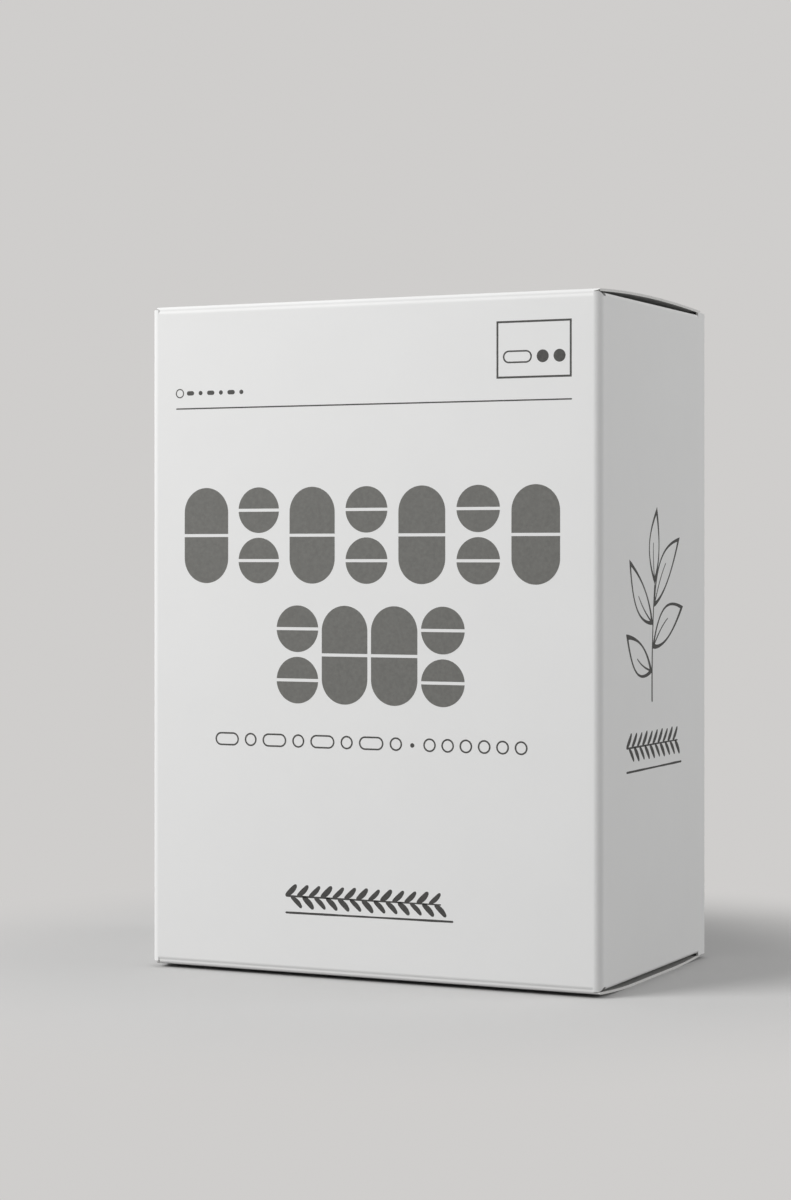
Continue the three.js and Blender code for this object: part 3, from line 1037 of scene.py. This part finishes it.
def dab_width(full):
    """A dab's width along its way: thin at both ends and full in the middle."""
    return lambda s: full * (0.3 + 0.7 * math.sin(math.pi * (0.1 + 0.8 * s)))


def brush_garland(ink, left, right, low, high, count):
    """A lying spray of brush dabs in pairs, one leaning up and one down from a thin stem."""
    middle = (low + high) / 2
    reach = (high - low) / 2
    pitch = (right - left - reach * DAB_LEAN) / count
    ink.stroke([(left, middle), (right - reach, middle)], lambda s: mix(*GARLAND_STEM, s))
    for i in range(count):
        for way, shift in ((1, 0.0), (-1, pitch * DAB_STAGGER)):
            wobble = math.sin(2.4 * i + 0.7 * way)  # the unevenness of a hand
            start = left + pitch * i + shift
            rise = reach * (0.97 + 0.03 * wobble)
            path = []
            for n in range(DAB_STEPS + 1):
                t = n / DAB_STEPS
                bow = DAB_BOW * math.sin(math.pi * t)
                path.append((start + reach * DAB_LEAN * t + bow, middle + way * rise * t))
            ink.stroke(path, dab_width(DAB_WIDTH + 0.1 * wobble))


def underline(ink, ends):
    """A brush line of slightly uneven width."""
    ink.stroke(ends, lambda s: UNDERLINE_WIDTH + 0.04 * math.sin(9 * s) + 0.02 * math.sin(31 * s))


def leaf_outline(base, tip, bulge, cut):
    """A pointed leaf from base to tip. cut is 0 for the outer side of its line and 1 for the inner."""
    du, dv = tip[0] - base[0], tip[1] - base[1]
    length = math.hypot(du, dv)
    along = (du / length, dv / length)
    side = (-along[1], along[0])
    base_line, side_line, tip_line = (cut * line for line in LEAF_LINES)
    outline = []
    for way in (-1, 1):
        for i in range(ARC_STEPS):
            t = i / ARC_STEPS if way < 0 else 1 - i / ARC_STEPS
            reach = mix(base_line, length - tip_line, t)
            spread = math.sin(math.pi * t**LEAF_POINT) ** LEAF_POINT if 0 < t < 1 else 0.0
            bend = LEAF_BEND * length * math.sin(math.pi * reach / length)
            off = way * (bulge - side_line) * spread + bend
            outline.append(tuple(b + a * reach + s * off for b, a, s in zip(base, along, side)))
    return outline


def curve_between(start, bend, finish):
    """Points of a curve from start to finish that leans towards bend."""
    points = []
    for i in range(ARC_STEPS + 1):
        t = i / ARC_STEPS
        points.append(tuple(mix(mix(a, b, t), mix(b, c, t), t) for a, b, c in zip(start, bend, finish)))
    return points


def sprig(ink):
    """A stem with outlined leaves, each with a vein that starts at the stem and runs beside its middle."""
    stem = curve_between(SPRIG_TAIL, SPRIG_BEND, SPRIG_TOP)
    ink.stroke(stem, lambda s: mix(*SPRIG_STEM, s))
    for grows, tip, bulge in SPRIG_LEAVES:
        base = stem[round(grows * ARC_STEPS)]
        ink.ring(leaf_outline(base, tip, bulge, 0), leaf_outline(base, tip, bulge, 1))
        beside_middle = leaf_outline(base, tip, 0, 1)
        ink.stroke([base] + beside_middle[1 : round(ARC_STEPS * VEIN_SHARE)], lambda s: mix(*VEIN, s))


def rectangle(low, high, inset=0.0):
    """A rectangle's corners, counter-clockwise, drawn in by an inset."""
    left, foot = (c + inset for c in low)
    right, top = (c - inset for c in high)
    return [(left, foot), (right, foot), (right, top), (left, top)]


def print_fine_lines(ink):
    """The rule, the small row on it, the outlined rectangle and the row of outlined tablets."""
    ink.stroke(RULE, lambda s: FINE_LINE)
    ink.ring(rectangle(FRAME_LOW, FRAME_HIGH), rectangle(FRAME_LOW, FRAME_HIGH, FRAME_LINE))
    u, v = FRAME_MARK
    outlined(ink, u + FRAME_CAPSULE_OFFSET, v, **FRAME_CAPSULE)
    for offset in FRAME_ROUND_OFFSETS:
        ink.fill(capsule(u + offset, v, FRAME_ROUND, FRAME_ROUND))
    u, v = SMALL_ROW_START
    outlined(ink, u, v, **SMALL_ROW_RING)
    for i, width in enumerate(SMALL_ROW_WIDTHS):
        ink.fill(capsule(u + SMALL_ROW_OFFSET + SMALL_ROW_PITCH * i, v, width, DOT))
    outline_row(ink, *OUTLINE_ROW_LEFT, OUTLINE_ROW_LEVEL, [SMALL_CAPSULE, SMALL_ROUND] * 4)
    outline_row(ink, *OUTLINE_ROW_RIGHT, OUTLINE_ROW_LEVEL, [SMALL_ROUND] * 6)
    ink.fill(capsule(*OUTLINE_DOT, DOT, DOT))


def build_print():
    """All print: three kinds on the front panel, and the sprig with its garland on the side."""
    front = {"origin": (0, FRONT, 0), "across": (1, 0, 0), "out": (0, -1, 0)}
    large = Print("front_print_large", **front, material=ink_grey)
    tablet_row(large, **LARGE_ROW)
    tablet_row(large, **SECOND_ROW)
    large.build("carton")

    fine = Print("front_print_fine", **front, material=ink_line)
    print_fine_lines(fine)
    fine.build("carton")

    brush = Print("front_print_brush", **front, material=ink_dark)
    brush_garland(brush, **FRONT_BRUSH)
    underline(brush, FRONT_UNDERLINE)
    brush.build("carton")

    side = Print("side_print", (HALF_WIDTH, FRONT, 0), (0, 1, 0), (1, 0, 0), ink_dark)
    sprig(side)
    brush_garland(side, **SIDE_BRUSH)
    underline(side, SIDE_UNDERLINE)
    side.build("carton")


build_print()


# Stage, light and camera

FLOOR_HALF = 3.0
FLOOR_FADE = (0.06, 0.13)  # from the carton's middle, where the floor takes on the backdrop's tone
WORLD_LIGHT = 0.42
KEY = {"azimuth": -39, "elevation": 29, "distance": 0.95, "size": 0.62, "strength": 0.96}
FILL = {"azimuth": 105, "elevation": 14, "distance": 0.6, "size": 0.4, "strength": 0.335}

# The photograph's camera: level, with its frame shifted down.
PHOTO_HEIGHT = 1200
FOCAL_PIXELS = 2753.7
HORIZON = 555.14  # the row of the photograph at the camera's own height
YAW = math.radians(25.273)
CAMERA_PLACE = Vector((211.76, -464.52, 74.67)) * MM + Vector((0, 0, BOTTOM_HINGE))
CAMERA_RANGE = (0.01, 20)
SENSOR = 36


def floor_material():
    """A pale floor that takes the shadow, gives little light back and fades into the backdrop's tone."""
    material, nodes, links, shader = new_material("floor")
    ray = nodes.new("ShaderNodeLightPath")
    colour = nodes.new("ShaderNodeMix")
    colour.data_type = "RGBA"
    colour.inputs["A"].default_value = (*FLOOR_COLOUR, 1)
    colour.inputs["B"].default_value = (*shade(FLOOR_COLOUR, FLOOR_BOUNCE), 1)
    links.new(ray.outputs["Is Diffuse Ray"], colour.inputs["Factor"])
    links.new(colour.outputs["Result"], shader.inputs["Base Color"])
    shader.inputs["Roughness"].default_value = 0.95
    shader.inputs["Specular IOR Level"].default_value = 0.1
    glow = nodes.new("ShaderNodeEmission")
    glow.inputs["Color"].default_value = (*BACKDROP, 1)
    place = nodes.new("ShaderNodeTexCoord")
    distance = nodes.new("ShaderNodeVectorMath")
    distance.operation = "LENGTH"
    links.new(place.outputs["Object"], distance.inputs[0])
    far = nodes.new("ShaderNodeMapRange")
    far.interpolation_type = "SMOOTHSTEP"
    far.inputs["From Min"].default_value = FLOOR_FADE[0]
    far.inputs["From Max"].default_value = FLOOR_FADE[1]
    links.new(distance.outputs["Value"], far.inputs["Value"])
    seen = combine(nodes, links, "MULTIPLY", far.outputs["Result"], ray.outputs["Is Camera Ray"])
    blend = nodes.new("ShaderNodeMixShader")
    links.new(seen, blend.inputs["Fac"])
    links.new(shader.outputs["BSDF"], blend.inputs[1])
    links.new(glow.outputs["Emission"], blend.inputs[2])
    links.new(blend.outputs["Shader"], nodes["Material Output"].inputs["Surface"])
    return material


def build_floor():
    """The floor that the carton stands on."""
    corners = [(-1, -1), (1, -1), (1, 1), (-1, 1)]
    points = [(x * FLOOR_HALF, y * FLOOR_HALF, 0) for x, y in corners]
    floor = new_mesh("floor", points, [[0, 1, 2, 3]], [floor_material()])


def build_world():
    """Even light from all around, and the backdrop's tone wherever the camera or a reflection sees it."""
    world = bpy.data.worlds.new("studio")
    bpy.context.scene.world = world
    world.use_nodes = True
    nodes, links = world.node_tree.nodes, world.node_tree.links
    light = nodes["Background"]
    light.inputs["Color"].default_value = (1, 1, 1, 1)
    light.inputs["Strength"].default_value = WORLD_LIGHT
    backdrop = nodes.new("ShaderNodeBackground")
    backdrop.inputs["Color"].default_value = (*BACKDROP, 1)
    backdrop.inputs["Strength"].default_value = 1
    ray = nodes.new("ShaderNodeLightPath")
    seen = ray.outputs["Is Camera Ray"]
    for kind in ("Is Glossy Ray", "Is Transmission Ray"):
        seen = combine(nodes, links, "MAXIMUM", seen, ray.outputs[kind])
    blend = nodes.new("ShaderNodeMixShader")
    links.new(seen, blend.inputs["Fac"])
    links.new(light.outputs["Background"], blend.inputs[1])
    links.new(backdrop.outputs["Background"], blend.inputs[2])
    links.new(blend.outputs["Shader"], nodes["World Output"].inputs["Surface"])


def add_lamp(name, azimuth, elevation, distance, size, strength):
    """A round lamp aimed at the carton's middle. Azimuth is from the front panel's normal, positive to
    the right. Strength is the light that it gives a facing surface: 1 renders a colour as written."""
    target = Vector((0, 0, (TOP_HINGE + BOTTOM_HINGE) / 2))
    az, el = math.radians(azimuth), math.radians(elevation)
    direction = Vector((math.sin(az) * math.cos(el), -math.cos(az) * math.cos(el), math.sin(el)))
    data = bpy.data.lights.new(name, "AREA")
    data.shape = "DISK"
    data.size = size
    data.energy = strength * math.pi**2 * distance**2
    lamp = bpy.data.objects.new(name, data)
    lamp.location = target + direction * distance
    lamp.rotation_euler = (-direction).to_track_quat("-Z", "Y").to_euler()
    bpy.context.scene.collection.objects.link(lamp)


def build_camera():
    """The photograph's camera."""
    data = bpy.data.cameras.new("camera")
    data.sensor_width = SENSOR
    data.lens = FOCAL_PIXELS / PHOTO_HEIGHT * SENSOR
    data.shift_y = -(PHOTO_HEIGHT / 2 - HORIZON) / PHOTO_HEIGHT
    data.clip_start, data.clip_end = CAMERA_RANGE
    camera = bpy.data.objects.new("camera", data)
    camera.location = CAMERA_PLACE
    camera.rotation_euler = (math.pi / 2, 0, YAW)
    bpy.context.scene.collection.objects.link(camera)
    bpy.context.scene.camera = camera


build_floor()
build_world()
add_lamp("key", **KEY)
add_lamp("fill", **FILL)
build_camera()
bpy.context.scene.view_settings.view_transform = "Standard"
